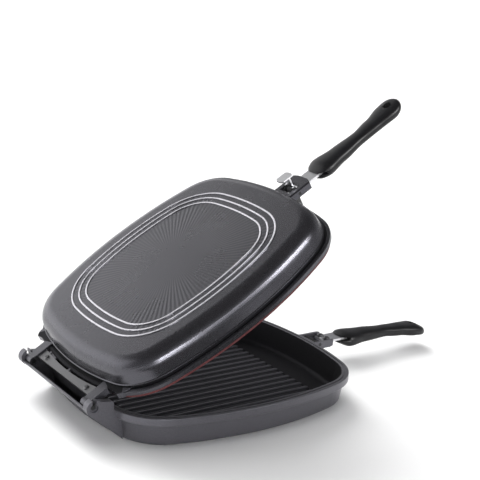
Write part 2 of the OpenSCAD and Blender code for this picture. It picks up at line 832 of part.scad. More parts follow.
slot_slack = 0.3;
hang_x = grip_x + grip_l - hang_back;
seat_depth = 4.5;
grip_head_r = 4.4;
grip_head_h = 2.6;

// Slot for the tang, screw bore and hanging hole, at the tang's own height
module grip_cuts(z) {
    translate([grip_x - 1, -30, z - slot_slack])
        cube([tang_shoulder - grip_x + 1.4, 60, tang_t + 2 * slot_slack]);
    translate([grip_x, -tang_tail_w / 2 - slot_slack, z - slot_slack])
        cube([tang_root + tang_l - grip_x + 0.5, tang_tail_w + 2 * slot_slack, tang_t + 2 * slot_slack]);
    translate([hang_x, 0, z]) cylinder(r = hang_r, h = 80, center = true, $fn = fine_fn);
}

lower_seat_z = lower_tang_z - 5;
upper_seat_z = upper_tang_z - 3;

module screw_bore(z) {
    translate([grip_screw_x, 0, z - 40]) cylinder(r = grip_head_r + 0.6, h = 40, $fn = hole_fn);
    translate([grip_screw_x, 0, z - 1]) cylinder(r = grip_screw_r + 0.2, h = 10, $fn = hole_fn);
}

module lower_grip() {
    color(bakelite) difference() {
        translate([grip_x, 0, lower_grip_top]) mirror([0, 0, 1]) grip_body();
        grip_cuts(lower_tang_z);
        screw_bore(lower_seat_z);
    }
}

module upper_grip() {
    color(bakelite) opened() difference() {
        translate([grip_x, 0, upper_grip_base]) grip_body();
        grip_cuts(upper_tang_z);
        screw_bore(upper_seat_z);
    }
}

module grip_screw(seat, tang_z) {
    translate([grip_screw_x, 0, seat - washer_t]) mirror([0, 0, 1])
        pan_screw(grip_screw_r, grip_head_r, grip_head_h, tang_z + tang_t - seat + washer_t);
}

module lower_grip_screw() {
    color(steel) grip_screw(lower_seat_z, lower_tang_z);
}

module upper_grip_screw() {
    color(steel) opened() grip_screw(upper_seat_z, upper_tang_z);
}

module lower_grip_washer() {
    color(steel) translate([grip_screw_x, 0, lower_seat_z - washer_t])
        washer(grip_head_r + 0.4, grip_screw_r, washer_t);
}

module upper_grip_washer() {
    color(steel) opened() translate([grip_screw_x, 0, upper_seat_z - washer_t])
        washer(grip_head_r + 0.4, grip_screw_r, washer_t);
}

// ---- Latch ----

latch_pos = [rim_x + latch_x, upper_z + 9];
catch_pos = [rim_x + latch_x - 3, lower_h - 2.9];
ear_y = 6;
ear_top = 6;
neck_x = 0.6;
neck_w = 9;
pad_x = -1.7;
pad_end_r = 8.9;
barb_drop = 0.7;
arm_gap = 0.7;

module latch_place() {
    translate([latch_pos.x, 0, latch_pos.y]) rotate([90, 0, 0]) children();
}

module catch_place() {
    translate([catch_pos.x, 0, catch_pos.y]) rotate([90, 0, 0]) children();
}

hook_x = catch_pos.x + catch_r + arm_gap;
barb_z = catch_pos.y - catch_r - barb_drop;

// Side view of one ear of the lever
module ear_section() {
    translate(latch_pos) circle(latch_pin_r + 2.2, $fn = fine_fn);
    polygon([
        latch_pos + [-3.5, 0], latch_pos + [-1.5, ear_top], latch_pos + [neck_x + latch_t, ear_top],
        latch_pos + [3.5, 2]
    ]);
    translate([hook_x, barb_z - latch_t]) square([latch_t + 1, latch_pos.y - barb_z + latch_t]);
}

module latch_lever() {
    color(steel) opened() difference() {
        union() {
            for (side = [-1, 1]) across(side * (ear_y + latch_t / 2), latch_t) ear_section();
            // Web between the ears, clear of the spring, and the neck that carries the pad
            across(0, 2 * ear_y + 2 * latch_t)
                translate(latch_pos + [neck_x, spring_reach + 0.5]) square([latch_t, ear_top - 3]);
            across(0, neck_w)
                translate(latch_pos + [neck_x, spring_reach + 1]) square([latch_t, pad_rise - spring_reach]);
            translate([latch_pos.x + pad_x, 0, latch_pos.y + pad_rise]) linear_extrude(latch_t) intersection() {
                square([pad_l, pad_w], center = true);
                circle(pad_end_r, $fn = fine_fn);
            }
            // Hook plate with its barb under the catch pin
            across(0, 2 * ear_y + 2 * latch_t) polygon([
                [hook_x, latch_pos.y - latch_pin_r - 3], [hook_x, barb_z], [catch_pos.x - 1, barb_z],
                [hook_x - 1, barb_z - 2.2], [hook_x + latch_t, barb_z - 2.2],
                [hook_x + latch_t, latch_pos.y - latch_pin_r - 3]
            ]);
        }
        latch_place() cylinder(r = latch_pin_r + pin_clearance, h = bracket_w, center = true, $fn = fine_fn);
    }
}

module latch_pin() {
    color(steel) opened() latch_place()
        cylinder(r = latch_pin_r, h = bracket_w, center = true, $fn = fine_fn);
}

module catch_pin() {
    color(steel) catch_place() cylinder(r = catch_r, h = bracket_w, center = true, $fn = fine_fn);
}

// Torsion spring wound round the latch pin, between the ears; both ends run straight
spring_turns = 4;
spring_pitch = 2;
spring_r = latch_pin_r + 1.25;
spring_reach = spring_r + wire_r;
spring_steps = 12;
wire_sides = 6;

function coil_angle(i) = 360 * i / spring_steps + 20;

function coil_tangent(i) =
    let (a = coil_angle(i), t = [-spring_r * sin(a), spring_r * cos(a), spring_pitch / (2 * PI)]) t / norm(t);

function coil_point(i) =
    let (a = coil_angle(i))
    [spring_r * cos(a), spring_r * sin(a), spring_pitch * (i / spring_steps - spring_turns / 2)];

module latch_spring() {
    rings = spring_turns * spring_steps;
    path = concat([[0, -2 * wire_r]], [for (i = [0:rings]) [i, 0]], [[rings, 2 * wire_r]]);
    count = len(path);
    points = [for (step = path)
        let (
            t = coil_tangent(step[0]),
            out = [cos(coil_angle(step[0])), sin(coil_angle(step[0])), 0],
            up = cross(out, t),
            p = coil_point(step[0]) + step[1] * t
        )
        each [for (k = [0:wire_sides - 1])
            p + wire_r * (out * cos(360 * k / wire_sides) + up * sin(360 * k / wire_sides))]];
    first = [for (k = [wire_sides - 1:-1:0]) k];
    last = [for (k = [0:wire_sides - 1]) (count - 1) * wire_sides + k];
    skin = [for (i = [0:count - 2], k = [0:wire_sides - 1])
        let (a = i * wire_sides + k, b = i * wire_sides + (k + 1) % wire_sides)
        each [[a, b, a + wire_sides], [b, b + wire_sides, a + wire_sides]]];
    color(steel) opened() latch_place() polyhedron(points, concat([first, last], skin));
    gaps = [for (i = [0:rings - spring_steps])
        norm(coil_point(i + spring_steps) - coil_point(i)) - 2 * wire_r];
    echo(least_gap_between_turns = min(gaps));
}

lower_pan();
lower_tang();
lower_tang_screws();
lower_tang_washers();
lower_grip();
lower_grip_screw();
lower_grip_washer();
catch_pin();
upper_pan();
rim_seal();
near_hinge_pin();
far_hinge_pin();
hinge_bar();
hinge_bar_screws();
upper_tang();
upper_tang_screws();
upper_tang_washers();
upper_grip();
upper_grip_screw();
upper_grip_washer();
latch_pin();
latch_spring();
latch_lever();
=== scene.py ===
"""Looks of the double sided flip pan. Metres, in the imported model's frame: +X to the handles, +Z up."""
import json
import math

import bpy
from mathutils import Matrix, Vector

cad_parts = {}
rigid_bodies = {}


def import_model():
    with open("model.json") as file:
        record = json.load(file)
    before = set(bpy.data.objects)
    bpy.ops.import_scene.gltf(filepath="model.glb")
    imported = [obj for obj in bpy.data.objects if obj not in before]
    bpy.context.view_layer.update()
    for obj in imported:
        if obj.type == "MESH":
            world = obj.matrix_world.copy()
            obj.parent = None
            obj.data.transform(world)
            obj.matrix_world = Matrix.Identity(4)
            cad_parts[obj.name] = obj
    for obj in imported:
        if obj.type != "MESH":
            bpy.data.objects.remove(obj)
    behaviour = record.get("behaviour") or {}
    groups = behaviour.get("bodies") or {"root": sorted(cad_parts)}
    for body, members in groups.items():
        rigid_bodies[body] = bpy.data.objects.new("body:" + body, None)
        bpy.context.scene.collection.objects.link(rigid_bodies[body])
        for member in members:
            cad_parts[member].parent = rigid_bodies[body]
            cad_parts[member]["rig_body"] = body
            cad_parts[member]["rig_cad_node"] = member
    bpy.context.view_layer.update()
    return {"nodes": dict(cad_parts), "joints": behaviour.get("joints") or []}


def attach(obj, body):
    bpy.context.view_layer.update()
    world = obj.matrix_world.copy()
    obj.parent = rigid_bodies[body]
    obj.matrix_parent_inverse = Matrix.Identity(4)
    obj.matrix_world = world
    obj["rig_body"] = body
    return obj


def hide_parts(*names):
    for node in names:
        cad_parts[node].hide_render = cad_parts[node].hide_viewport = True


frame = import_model()
scene = bpy.context.scene
bpy.ops.object.select_all(action="DESELECT")

# --- Camera ---------------------------------------------------------------------------------
# The photograph's viewpoint: in front of the pan and to the left, a little above it,
# with a long lens and the frame turned by a few degrees.
VIEW_AZIMUTH = math.radians(-35.57)
VIEW_ELEVATION = math.radians(15.86)
VIEW_ROLL = math.radians(3.74)
VIEW_DISTANCE = 1.2924
VIEW_TARGET = Vector((0.0528, 0.0098, 0.1589))
SENSOR_MM = 36
LENS_MM = 89.6
back = Vector((math.sin(VIEW_AZIMUTH) * math.cos(VIEW_ELEVATION),
               -math.cos(VIEW_AZIMUTH) * math.cos(VIEW_ELEVATION),
               math.sin(VIEW_ELEVATION)))
level_right = Vector((math.cos(VIEW_AZIMUTH), math.sin(VIEW_AZIMUTH), 0))
level_up = back.cross(level_right)
right = level_right * math.cos(VIEW_ROLL) + level_up * math.sin(VIEW_ROLL)
up = level_up * math.cos(VIEW_ROLL) - level_right * math.sin(VIEW_ROLL)
lens = bpy.data.cameras.new("photo_lens")
lens.sensor_width = SENSOR_MM
lens.lens = LENS_MM
lens.clip_start = 0.05
lens.clip_end = 60
camera = bpy.data.objects.new("photo_camera", lens)
scene.collection.objects.link(camera)
camera.matrix_world = Matrix.Translation(VIEW_TARGET + back * VIEW_DISTANCE) @ \
    Matrix((right, up, back)).transposed().to_4x4()
scene.camera = camera

# --- Floor and light ------------------------------------------------------------------------
# A white paper sweep under the pan, lit by a broad lamp overhead, one behind and a fill in
# front, which the gloss doesn't show. The gloss shows a pale room instead, with strips and a
# card that run along the upper pan's rounded edge, and a black felt flag lying before it.
FLOOR_SIZE = 60
FLOOR_HEIGHT = -0.0003
PAPER_GREY = 0.86
FELT_GREY = 0.01
FLAG_CENTRE = (-0.04, -1.62, 0.0002)
FLAG_SIZE = (0.92, 2.8)
# Reflected room: its grey at each height, from the horizon (0) to straight up (1), and how much
# more blue than red it has.
SKY_STOPS = ((0.0, 0.22), (0.15, 0.36), (0.30, 0.34), (0.55, 0.12), (0.78, 0.03), (1.0, 0.02))
SKY_COOL = 1.04
# A soft bright panel in it: its strength, and from where to where each edge fades in.
GLOW = 1.55
GLOW_X = (0.50, 0.24)
GLOW_Y = (0.0, 0.3)
GLOW_Z = (0.66, 0.48)
# Strips and card: name, centre, length, width, watts; all lie along one line and face one way.
STRIP_ALONG = Vector((0.876, 0, 0.482))
STRIP_TOWARD = Vector((0.10, -0.895, 0.434)).normalized()
STRIPS = (("long_strip", (0.22, -1.15, 0.73), 2.0, 0.11, 6),
          ("hinge_end_strip", (-0.52, -1.15, 0.33), 0.30, 0.13, 5),
          ("handle_end_strip", (0.76, -1.15, 1.03), 0.9, 0.18, 20),
          ("handle_end_card", (0.98, -1.15, 0.70), 0.6, 0.6, 1.6))
# Lamps far away: name, strength, spread in degrees, direction they stand in.
SUNS = (("overhead_lamp", 1.9, 66, (0.10, 0.30, 1.0)),
        ("back_lamp", 3.0, 36, (0.05, 1.2, 1.0)),
        ("front_fill", 2.4, 40, (-0.35, -1.0, 0.14)))


def plain_matt(name, grey, roughness):
    """One matt grey all over, for the floor and the flag."""
    material = bpy.data.materials.new(name)
    material.use_nodes = True
    shader = material.node_tree.nodes["Principled BSDF"]
    shader.inputs["Base Color"].default_value = (grey, grey, grey, 1)
    shader.inputs["Roughness"].default_value = roughness
    return material


def maths(tree, operation, first, second=None):
    """One sum on two values, each a number or another node's output."""
    node = tree.nodes.new("ShaderNodeMath")
    node.operation = operation
    for socket, value in zip(node.inputs, (first, second)):
        if isinstance(value, (int, float)):
            socket.default_value = value
        elif value is not None:
            tree.links.new(value, socket)
    return node.outputs["Value"]


def ramp(tree, value, start, end, low=0.0, high=1.0):
    """A smooth change from low to high as the value goes from start to end."""
    node = tree.nodes.new("ShaderNodeMapRange")
    node.interpolation_type = "SMOOTHSTEP"
    node.inputs["From Min"].default_value = start
    node.inputs["From Max"].default_value = end
    node.inputs["To Min"].default_value = low
    node.inputs["To Max"].default_value = high
    tree.links.new(value, node.inputs["Value"])
    return node.outputs["Result"]


scene.view_settings.view_transform = "Standard"
scene.view_settings.look = "None"

bpy.ops.mesh.primitive_plane_add(size=FLOOR_SIZE, location=(0, 0, FLOOR_HEIGHT))
floor = bpy.context.object
floor.name = "studio_floor"
floor.data.materials.append(plain_matt("white_sweep", PAPER_GREY, 0.9))

world = bpy.data.worlds.new("studio")
scene.world = world
world.use_nodes = True
sky = world.node_tree
direction = sky.nodes.new("ShaderNodeTexCoord")
split = sky.nodes.new("ShaderNodeSeparateXYZ")
sky.links.new(direction.outputs["Generated"], split.inputs[0])
height_ramp = sky.nodes.new("ShaderNodeValToRGB")
while len(height_ramp.color_ramp.elements) < len(SKY_STOPS):
    height_ramp.color_ramp.elements.new(0.5)
for stop, (height, grey) in zip(height_ramp.color_ramp.elements, SKY_STOPS):
    stop.position = height
    stop.color = (grey, grey, grey * SKY_COOL, 1)
sky.links.new(split.outputs["Z"], height_ramp.inputs[0])
panel = maths(sky, "MULTIPLY", ramp(sky, split.outputs["X"], *GLOW_X, high=GLOW),
              ramp(sky, split.outputs["Y"], *GLOW_Y))
panel = maths(sky, "MULTIPLY", panel, ramp(sky, split.outputs["Z"], *GLOW_Z))
total = sky.nodes.new("ShaderNodeMix")
total.data_type = "RGBA"
total.blend_type = "ADD"
total.inputs["Factor"].default_value = 1.0
sky.links.new(height_ramp.outputs["Color"], total.inputs["A"])
sky.links.new(panel, total.inputs["B"])
sky.links.new(total.outputs["Result"], sky.nodes["Background"].inputs["Color"])

strip_across = STRIP_TOWARD.cross(STRIP_ALONG).normalized()
strip_facing = STRIP_ALONG.cross(strip_across).normalized()
strip_turn = Matrix((STRIP_ALONG.normalized(), strip_across, strip_facing)).transposed().to_4x4()
for name, centre, length, width, watts in STRIPS:
    strip = bpy.data.lights.new(name, "AREA")
    strip.shape = "RECTANGLE"
    strip.size = length
    strip.size_y = width
    strip.energy = watts
    lamp = bpy.data.objects.new(name, strip)
    lamp.visible_camera = False
    lamp.visible_diffuse = False
    scene.collection.objects.link(lamp)
    lamp.matrix_world = Matrix.Translation(centre) @ strip_turn

bpy.ops.mesh.primitive_plane_add(size=1, location=FLAG_CENTRE)
flag = bpy.context.object
flag.name = "front_flag"
flag.scale = (*FLAG_SIZE, 1)
bpy.ops.object.transform_apply(location=True, scale=True)
flag.data.materials.append(plain_matt("black_felt", FELT_GREY, 1.0))
flag.visible_camera = False
flag.visible_diffuse = False
flag.visible_shadow = False
flag.visible_transmission = False

for name, strength, spread, toward in SUNS:
    sun = bpy.data.lights.new(name, "SUN")
    sun.energy = strength
    sun.angle = math.radians(spread)
    lamp = bpy.data.objects.new(name, sun)
    lamp.visible_glossy = False
    scene.collection.objects.link(lamp)
    lamp.rotation_euler = Vector(toward).to_track_quat("Z", "Y").to_euler()

# --- Lower pan ------------------------------------------------------------------------------
# Die-cast aluminium under a sprayed grey non-stick coating, satin and finely speckled, and almost black
# where food lies. The hinge cradle and the handle bracket are cast with it. Its outside is painted a
# lighter grey than the upper pan's same coating, as painted light, and the ribs' crests lighter than the
# cavity, as painted highlight.
OUTER_GREY = 0.016
# The lower pan's outside: the upper pan's coating painted a lighter grey, as painted light on its walls.
LOWER_PAINTED_LIGHT_GREY = 0.053
INNER_GREY = 0.007
# Rib crests: painted highlight, a lighter coating on the ribs' upward-facing tops.
CREST_HIGHLIGHT_GREY = OUTER_GREY * 1.8
COATING_TINT = (1.0, 0.98, 1.08)
SHEEN_TINT = (0.89, 0.88, 1.0, 1)
# The rim's outline: half its length and width, and the radii of its bowed ends, bowed sides
# and corners.
RIM_HALF = (0.150, 0.133)
END_BOW = 0.350
SIDE_BOW = 0.370
CORNER = 0.061
# The cavity: thickness of the wall at the rim, how far in there is nothing but cavity, the
# height of its floor, and the heights between which the ribs' crests lie.
WALL = 0.0074
ALL_CAVITY = 0.017
FLOOR_TOP = 0.0039
RIB_CREST = (0.0060, 0.0070)
# A face's normal against the inward or upward direction: beyond these it counts as facing so.
FACING_IN = 0.02
FACING_UP = 0.3
CREST_UP = 0.5
# The places of this pan's materials.
OUTSIDE, INSIDE, LIT_CRESTS = 0, 1, 2


def corner_centre():
    """Centre of the corner's arc, which touches the end's arc and the side's arc."""
    end_x, side_y = RIM_HALF[0] - END_BOW, RIM_HALF[1] - SIDE_BOW
    end_r, side_r = END_BOW - CORNER, SIDE_BOW - CORNER
    span = math.hypot(end_x, side_y)
    along = (end_r ** 2 - side_r ** 2 + span ** 2) / (2 * span)
    across = math.sqrt(end_r ** 2 - along ** 2)
    ux, uy = -end_x / span, side_y / span
    return end_x + along * ux - across * uy, along * uy + across * ux


CORNER_AT = corner_centre()


def depth_inside(x, y):
    """How far a point lies inside the rim's outline, and the inward direction there."""
    ax, ay = abs(x), abs(y)
    end_x, side_y = RIM_HALF[0] - END_BOW, RIM_HALF[1] - SIDE_BOW
    cx, cy = CORNER_AT
    if (ax - end_x) * cy > ay * (cx - end_x):
        centre, radius = (end_x, 0.0), END_BOW
    elif ax * (cy - side_y) < (ay - side_y) * cx:
        centre, radius = (0.0, side_y), SIDE_BOW
    else:
        centre, radius = (cx, cy), CORNER
    dx, dy = ax - centre[0], ay - centre[1]
    away = math.hypot(dx, dy)
    inward = Vector((-dx / away * math.copysign(1, x), -dy / away * math.copysign(1, y), 0))
    return radius - away, inward


def coating(name, grey, roughness, speckle, specular=1.0):
    """Sprayed non-stick coating: fine light and dark flecks, cloudy gloss, slight orange peel."""
    material = bpy.data.materials.new(name)
    material.use_nodes = True
    tree = material.node_tree
    shader = tree.nodes["Principled BSDF"]
    place = tree.nodes.new("ShaderNodeTexCoord")
    flecks = tree.nodes.new("ShaderNodeTexNoise")
    flecks.inputs["Scale"].default_value = 900
    flecks.inputs["Detail"].default_value = 3
    flecks.inputs["Roughness"].default_value = 0.75
    tones = tree.nodes.new("ShaderNodeValToRGB")
    tones.name = "tones"
    tones.color_ramp.elements[0].position = 0.30
    tones.color_ramp.elements[1].position = 0.72
    dark = [grey * (1 - speckle) * share for share in COATING_TINT]
    light = [grey * (1 + speckle) * share for share in COATING_TINT]
    tones.color_ramp.elements[0].color = (*dark, 1)
    tones.color_ramp.elements[1].color = (*light, 1)
    clouds = tree.nodes.new("ShaderNodeTexNoise")
    clouds.inputs["Scale"].default_value = 28
    clouds.inputs["Detail"].default_value = 4
    wear = tree.nodes.new("ShaderNodeMapRange")
    wear.inputs["To Min"].default_value = roughness - 0.05
    wear.inputs["To Max"].default_value = roughness + 0.07
    peel = tree.nodes.new("ShaderNodeBump")
    peel.name = "peel"
    peel.inputs["Strength"].default_value = 0.07
    peel.inputs["Distance"].default_value = 0.0004
    tree.links.new(place.outputs["Object"], flecks.inputs["Vector"])
    tree.links.new(place.outputs["Object"], clouds.inputs["Vector"])
    tree.links.new(flecks.outputs["Fac"], tones.inputs["Fac"])
    tree.links.new(tones.outputs["Color"], shader.inputs["Base Color"])
    tree.links.new(clouds.outputs["Fac"], wear.inputs["Value"])
    tree.links.new(wear.outputs["Result"], shader.inputs["Roughness"])
    tree.links.new(flecks.outputs["Fac"], peel.inputs["Height"])
    tree.links.new(peel.outputs["Normal"], shader.inputs["Normal"])
    shader.inputs["Specular IOR Level"].default_value = specular
    shader.inputs["Specular Tint"].default_value = SHEEN_TINT
    return material


def dress(node_name, *materials):
    """Gives a CAD node its materials, in the order of its faces' indices."""
    node = frame["nodes"][node_name]
    node.data.materials.clear()
    for material in materials:
        node.data.materials.append(material)
    return node


lower_painted_light_coating = coating("grey_lower_painted_light_coating", LOWER_PAINTED_LIGHT_GREY, roughness=0.30, speckle=0.40)
inner_coating = coating("dark_cooking_coating", INNER_GREY, roughness=0.52, speckle=0.30,
                        specular=0.12)
crest_painted_highlight = coating("rib_crest_painted_highlight", CREST_HIGHLIGHT_GREY, roughness=0.34, speckle=0.40)
lower_pan = dress("lower_pan", lower_painted_light_coating, inner_coating, crest_painted_highlight)
for face in lower_pan.data.polygons:
    inside, inward = depth_inside(face.center.x, face.center.y)
    faces_in = face.normal.dot(inward) > FACING_IN or face.normal.z > FACING_UP
    cavity = face.center.z > FLOOR_TOP and inside > WALL and (faces_in or inside > ALL_CAVITY)
    # Painted highlight: the ribs' upward-facing crests get the lighter coating.
    on_lit_crest = (cavity and RIB_CREST[0] < face.center.z < RIB_CREST[1] and
                face.normal.z > CREST_UP)
    face.material_index = LIT_CRESTS if on_lit_crest else INSIDE if cavity else OUTSIDE

# --- Catch pin ------------------------------------------------------------------------------
# A plain steel pin, blackened, held across the lower bracket in its two sides. The latch's
# barb hooks under it.
STREAKS = {"X": (60, 2500, 2500), "Y": (2500, 60, 2500)}


def steel(name, grey, roughness, along="X"):
    """Drawn or ground steel: streaks along one axis that change its tone and its gloss."""
    material = bpy.data.materials.new(name)
    material.use_nodes = True
    tree = material.node_tree
    shader = tree.nodes["Principled BSDF"]
    place = tree.nodes.new("ShaderNodeTexCoord")
    stretch = tree.nodes.new("ShaderNodeMapping")
    stretch.inputs["Scale"].default_value = STREAKS[along]
    grain = tree.nodes.new("ShaderNodeTexNoise")
    grain.inputs["Scale"].default_value = 1
    spread = tree.nodes.new("ShaderNodeMapRange")
    spread.inputs["To Min"].default_value = roughness - 0.08
    spread.inputs["To Max"].default_value = roughness + 0.12
    tones = tree.nodes.new("ShaderNodeValToRGB")
    tones.color_ramp.elements[0].position = 0.25
    tones.color_ramp.elements[1].position = 0.75
    tones.color_ramp.elements[0].color = (grey * 0.86, grey * 0.86, grey * 0.88, 1)
    tones.color_ramp.elements[1].color = (grey, grey, grey * 1.02, 1)
    tree.links.new(place.outputs["Object"], stretch.inputs["Vector"])
    tree.links.new(stretch.outputs["Vector"], grain.inputs["Vector"])
    tree.links.new(grain.outputs["Fac"], spread.inputs["Value"])
    tree.links.new(grain.outputs["Fac"], tones.inputs["Fac"])
    tree.links.new(tones.outputs["Color"], shader.inputs["Base Color"])
    tree.links.new(spread.outputs["Result"], shader.inputs["Roughness"])
    shader.inputs["Metallic"].default_value = 1.0
    return material


blackened_steel = steel("blackened_steel", grey=0.055, roughness=0.38, along="Y")
dress("catch_pin", blackened_steel)

# --- Lower tang -----------------------------------------------------------------------------
# A steel strip, satin along its length, screwed down in the bracket's channel; its tail runs
# into the grip.
tang_steel = steel("satin_tang_steel", grey=0.80, roughness=0.30)
dress("lower_tang", tang_steel)

# --- Lower tang screws and washers ----------------------------------------------------------
# Two pan-head screws with a cross slot, each on its washer. Both are steel, zinc plated and a
# little dull.
zinc = steel("zinc_plated_steel", grey=0.20, roughness=0.42)
dress("lower_tang_screws", zinc)
dress("lower_tang_washers", zinc)

# --- Lower grip -----------------------------------------------------------------------------
# Moulded black phenolic pushed over the tang: slim in the middle, broad at the end, where it
# is pierced for a hook. The moulding is smooth with a faint mottle.
PHENOLIC_DARK = (0.0045, 0.0045, 0.0050, 1)
PHENOLIC_LIGHT = (0.0100, 0.0096, 0.0110, 1)
WELD_DISTANCE = 0.00002
SMOOTH_ANGLE = math.radians(35)


def phenolic(name):
    """Moulded black phenolic: a fine mottle, and gloss that hands have made uneven."""
    material = bpy.data.materials.new(name)
    material.use_nodes = True
    tree = material.node_tree
    shader = tree.nodes["Principled BSDF"]
    place = tree.nodes.new("ShaderNodeTexCoord")
    mottle = tree.nodes.new("ShaderNodeTexNoise")
    mottle.inputs["Scale"].default_value = 420
    mottle.inputs["Detail"].default_value = 5
    tones = tree.nodes.new("ShaderNodeValToRGB")
    tones.color_ramp.elements[0].position = 0.3
    tones.color_ramp.elements[1].position = 0.7
    tones.color_ramp.elements[0].color = PHENOLIC_DARK
    tones.color_ramp.elements[1].color = PHENOLIC_LIGHT
    handling = tree.nodes.new("ShaderNodeTexNoise")
    handling.inputs["Scale"].default_value = 35
    handling.inputs["Detail"].default_value = 3
    polish = tree.nodes.new("ShaderNodeMapRange")
    polish.inputs["To Min"].default_value = 0.33
    polish.inputs["To Max"].default_value = 0.46
    grain = tree.nodes.new("ShaderNodeBump")
    grain.inputs["Strength"].default_value = 0.10
    grain.inputs["Distance"].default_value = 0.0003
    tree.links.new(place.outputs["Object"], mottle.inputs["Vector"])
    tree.links.new(place.outputs["Object"], handling.inputs["Vector"])
    tree.links.new(mottle.outputs["Fac"], tones.inputs["Fac"])
    tree.links.new(tones.outputs["Color"], shader.inputs["Base Color"])
    tree.links.new(handling.outputs["Fac"], polish.inputs["Value"])
    tree.links.new(polish.outputs["Result"], shader.inputs["Roughness"])
    tree.links.new(mottle.outputs["Fac"], grain.inputs["Height"])
    tree.links.new(grain.outputs["Normal"], shader.inputs["Normal"])
    shader.inputs["Specular IOR Level"].default_value = 0.34
    return material


def smooth_copy(node_name, piece_name):
    """A welded, smoothly shaded copy of a CAD node, bare of materials, to take its place."""
    node = frame["nodes"][node_name]
    piece = node.copy()
    piece.data = node.data.copy()
    piece.parent = None
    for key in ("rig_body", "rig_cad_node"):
        del piece[key]
    piece.name = piece_name
    scene.collection.objects.link(piece)
    bpy.ops.object.select_all(action="DESELECT")
    piece.select_set(True)
    bpy.context.view_layer.objects.active = piece
    bpy.ops.object.mode_set(mode="EDIT")
    bpy.ops.mesh.select_all(action="SELECT")
    bpy.ops.mesh.remove_doubles(threshold=WELD_DISTANCE)
    bpy.ops.object.mode_set(mode="OBJECT")
    bpy.ops.object.shade_smooth_by_angle(angle=SMOOTH_ANGLE)
    piece.data.materials.clear()
    return piece


black_phenolic = phenolic("black_phenolic")
lower_phenolic_grip = smooth_copy("lower_grip", "lower_phenolic_grip")
lower_phenolic_grip.data.materials.append(black_phenolic)
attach(lower_phenolic_grip, "lower")
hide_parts("lower_grip")

# --- Lower grip screw and washer ------------------------------------------------------------
# A larger pan-head screw of the same plated steel, sunk in the underside of the grip. It runs
# up into the tang, and its washer spreads its load on the moulding.
dress("lower_grip_screw", zinc)
dress("lower_grip_washer", zinc)

# --- Upper pan ------------------------------------------------------------------------------
# The deeper casting. Its base carries three raised rings, polished bare on their crests after coating,
# and inside them a fine sunburst of shallow radial lines, painted lighter on their ridges and darker
# between them as painted light and shade. The recess above its flange, and the flange's top at the hinge
# end, are painted near black as painted shade.
OPEN = math.radians(31)
BASE_HEIGHT = 0.0683
BASE_WITHIN = 0.00005
BASE_UP = 0.9
RING_ABOVE = 0.0001
# Heights of the cavity with the pans closed, and the normal beyond which a face looks down.
CAVITY_HEIGHT = (0.0362, 0.0645)
FACING_DOWN = -0.3
# The recess between flange and wall, painted dark as painted shade: how far inside the rim's outline, and
# its heights. At the hinge end the painted shade is wider, from the flange's edge inwards across the
# flange's top, and starts lower.
RECESS_INSIDE = (0.0040, 0.0066)
RECESS_HEIGHT = (0.0408, 0.0443)
HINGE_END_X = -0.135
HINGE_END_HALF_WIDTH = 0.105
HINGE_END_HEIGHT = 0.0385
FLANGE_EDGE = -0.0005
RECESS_PAINTED_SHADE_GREY = 0.006
# Half length and width inside the innermost ring, where the sunburst lies. Its lines start near the
# middle and are full further out; their tone runs from dark in the grooves to light on the ridges of the
# coating's, as painted shade and painted light.
RING_INNER = (0.0880, 0.0795)
SUNBURST_LINES = 110
SUNBURST_EMPTY = 0.018
SUNBURST_FULL = 0.060
SUNBURST_PAINTED_SHADE = 0.25
SUNBURST_PAINTED_LIGHT = 1.75
# Bare metal on the rings: the rises above the base between which the coating is worn away,
# shifted up and down by scuffs.
BARE_FROM = 0.00055
BARE_FULL = 0.00080
BARE_SCUFF = 0.00006
BARE_ALUMINIUM = (0.56, 0.55, 0.58, 1)
BARE_METALLIC = 0.35
# What most of a noise pattern lies between.
NOISE_LOW, NOISE_HIGH = 0.3, 0.7
# The places of this pan's further materials, after the outside and the inside.
RINGS, SUNBURST, RECESS = 2, 3, 4
record_joints = {joint["name"]: joint for joint in frame["joints"]}
HINGE = Vector(record_joints["pan_hinge"]["pos_m"])


def closed(point):
    """A point of the upper pan, turned back to where it lies with the pans closed."""
    dx, dz = point.x - HINGE.x, point.z - HINGE.z
    return Vector((HINGE.x + dx * math.cos(OPEN) + dz * math.sin(OPEN), point.y,
                   HINGE.z - dx * math.sin(OPEN) + dz * math.cos(OPEN)))


def turned_back(tree):
    """Object coordinates as they are with the pans closed, split into X, Y and Z."""
    place = tree.nodes.new("ShaderNodeTexCoord")
    turn_back = tree.nodes.new("ShaderNodeMapping")
    turn_back.vector_type = "POINT"
    turn_back.inputs["Rotation"].default_value = (0, OPEN, 0)
    turn_back.inputs["Location"].default_value = HINGE - Matrix.Rotation(OPEN, 3, "Y") @ HINGE
    parts = tree.nodes.new("ShaderNodeSeparateXYZ")
    tree.links.new(place.outputs["Object"], turn_back.inputs["Vector"])
    tree.links.new(turn_back.outputs["Vector"], parts.inputs["Vector"])
    return parts


outer_coating = coating("grey_outer_coating", OUTER_GREY, roughness=0.25, speckle=0.60)

